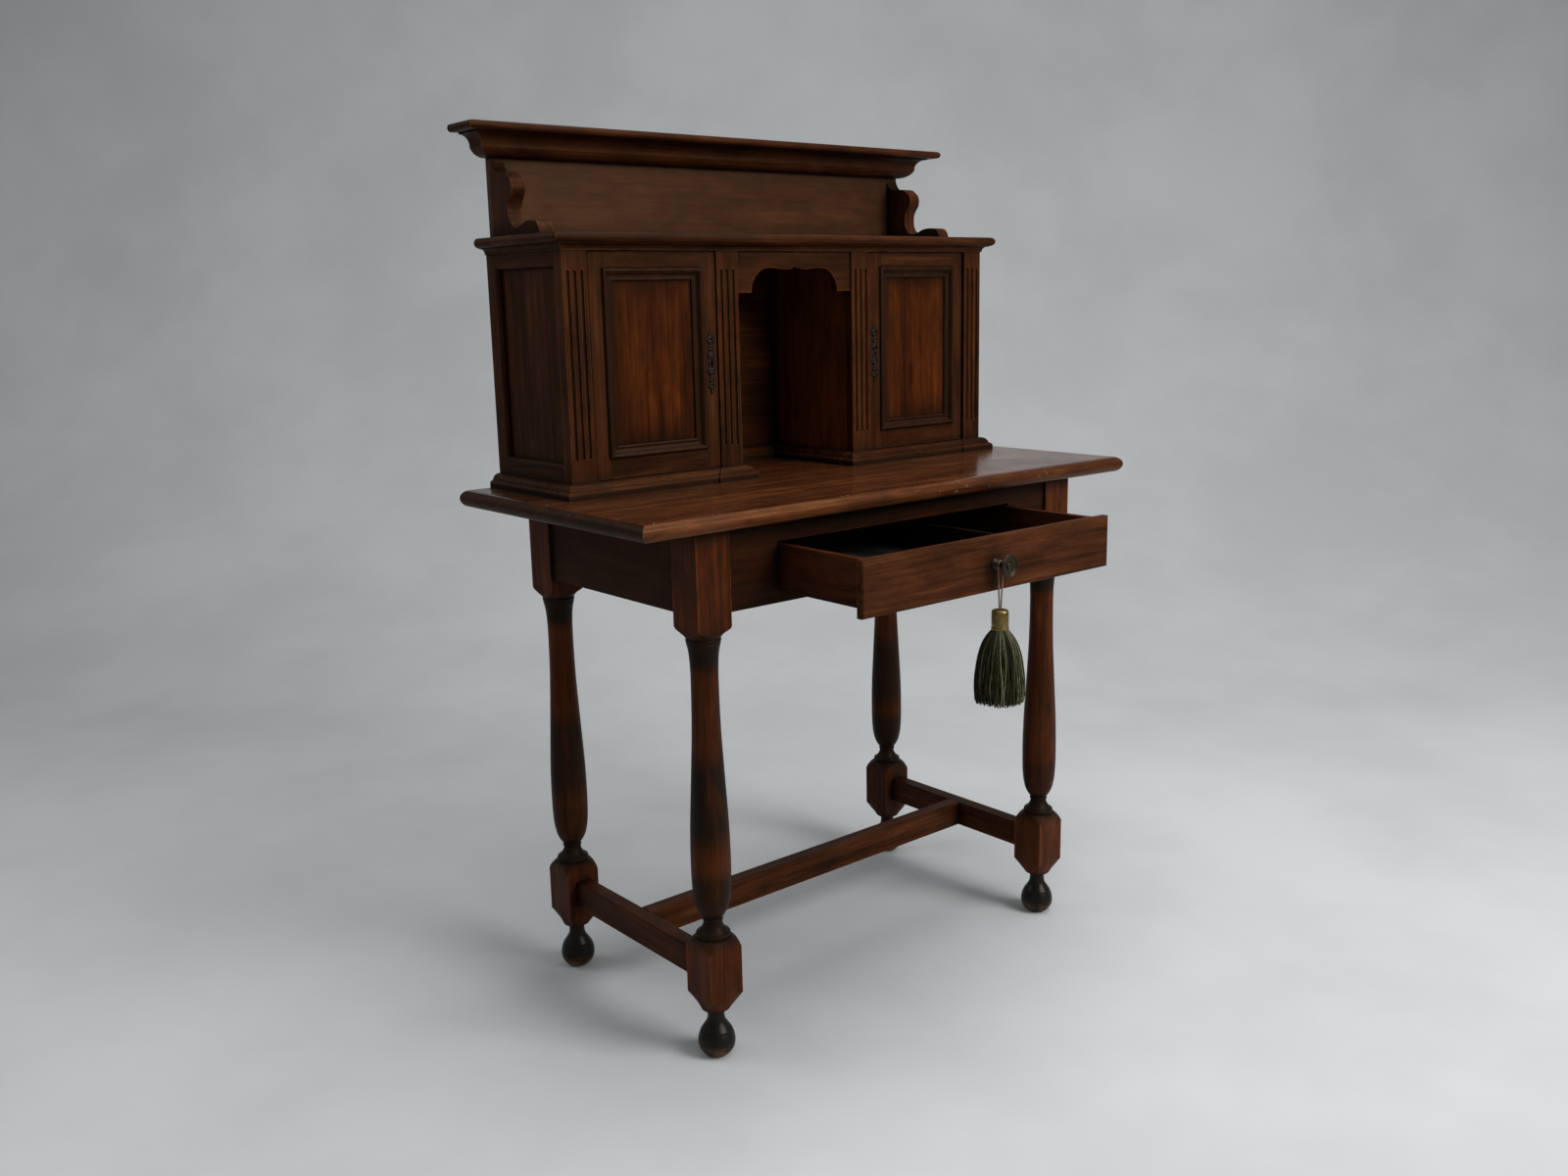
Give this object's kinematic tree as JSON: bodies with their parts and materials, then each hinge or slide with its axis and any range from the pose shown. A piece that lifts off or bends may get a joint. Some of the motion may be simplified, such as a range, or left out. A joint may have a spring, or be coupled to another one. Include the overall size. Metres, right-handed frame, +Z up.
{
  "type": "writing desk",
  "caption": "Small standing writing desk with a fluted cabinet and niche on its board, a front drawer with a tassel on its knob, and turned legs joined by an H stretcher.",
  "frame": {"origin": "on the floor under the middle of the desk's bounding box with the drawer as pictured, tassel not counted", "axes": "+Z up, +X to the right seen from the front, the front with the drawer looks along -Y"},
  "size_m": [0.93, 0.6476, 1.262],
  "materials": {
    "dark_wood": "dark brown stained wood, satin, worn at the edges",
    "door_panel_wood": "warm brown panel wood with darkened borders",
    "inner_wood": "plain stained wood, dull",
    "aged_brass": "tarnished brass",
    "lock_steel": "dull steel",
    "gilt_cap": "gilt metal",
    "tassel_cord": "twisted thread",
    "tassel_thread": "olive green thread",
    "black_lining": "matt black lining"
  },
  "bodies": {
    "desk": {"apron_back": "dark_wood", "apron_front": "dark_wood", "apron_left": "dark_wood", "apron_right": "dark_wood", "bracket_left": "dark_wood", "bracket_right": "dark_wood", "cabinet_back": "dark_wood", "cornice": "dark_wood", "crown_panel": "dark_wood", "door_pivots_left": "aged_brass", "door_pivots_right": "aged_brass", "drawer_runner_left": "inner_wood", "drawer_runner_right": "inner_wood", "leg_back_left": "dark_wood", "leg_back_right": "dark_wood", "leg_front_left": "dark_wood", "leg_front_right": "dark_wood", "niche_rail": "dark_wood", "partition_left": "dark_wood", "partition_right": "dark_wood", "pilaster_inner_left": "dark_wood", "pilaster_inner_right": "dark_wood", "pilaster_outer_left": "dark_wood", "pilaster_outer_right": "dark_wood", "plinth_left": "dark_wood", "plinth_niche": "dark_wood", "plinth_right": "dark_wood", "side_frame_left": "dark_wood", "side_frame_right": "dark_wood", "side_panel_left": "dark_wood", "side_panel_right": "dark_wood", "stretcher_left": "dark_wood", "stretcher_middle": "dark_wood", "stretcher_right": "dark_wood", "superstructure_board": "dark_wood", "writing_board": "dark_wood"},
    "drawer": {"drawer_back": "inner_wood", "drawer_bottom": "inner_wood", "drawer_divider": "inner_wood", "drawer_front": "dark_wood", "drawer_knob": "aged_brass", "drawer_lining": "black_lining", "drawer_side_left": "inner_wood", "drawer_side_right": "inner_wood"},
    "door_left": {"door_escutcheon_left": "aged_brass", "door_frame_left": "dark_wood", "door_lock_case_left": "lock_steel", "door_moulding_left": "dark_wood", "door_panel_left": "door_panel_wood"},
    "door_right": {"door_escutcheon_right": "aged_brass", "door_frame_right": "dark_wood", "door_lock_case_right": "lock_steel", "door_moulding_right": "dark_wood", "door_panel_right": "door_panel_wood"},
    "bolt_left": {"door_lock_bolt_left": "lock_steel"},
    "bolt_right": {"door_lock_bolt_right": "lock_steel"},
    "tassel": {"tassel_cap": "gilt_cap", "tassel_cord": "tassel_cord", "tassel_skirt": "tassel_thread"}
  },
  "joints": [
    {"name": "drawer_slide", "type": "slide", "parent": "desk", "child": "drawer", "axis": [0, -1, 0], "range_m": [-0.1663, 0.11]},
    {"name": "door_left_hinge", "type": "hinge", "parent": "desk", "child": "door_left", "pos_m": [-0.36, 0.1128, 0.934], "axis": [0, 0, -1], "range_deg": [0, 95]},
    {"name": "door_right_hinge", "type": "hinge", "parent": "desk", "child": "door_right", "pos_m": [0.36, 0.1128, 0.934], "axis": [0, 0, 1], "range_deg": [0, 95]},
    {"name": "bolt_left_slide", "type": "slide", "parent": "door_left", "child": "bolt_left", "axis": [1, 0, 0], "range_m": [0, 0.006]},
    {"name": "bolt_right_slide", "type": "slide", "parent": "door_right", "child": "bolt_right", "axis": [-1, 0, 0], "range_m": [0, 0.006]},
    {"name": "tassel_swing", "type": "hinge", "parent": "drawer", "child": "tassel", "pos_m": [0, -0.2988, 0.6683], "axis": [0, 1, 0], "range_deg": [-30, 30]}
  ]
}
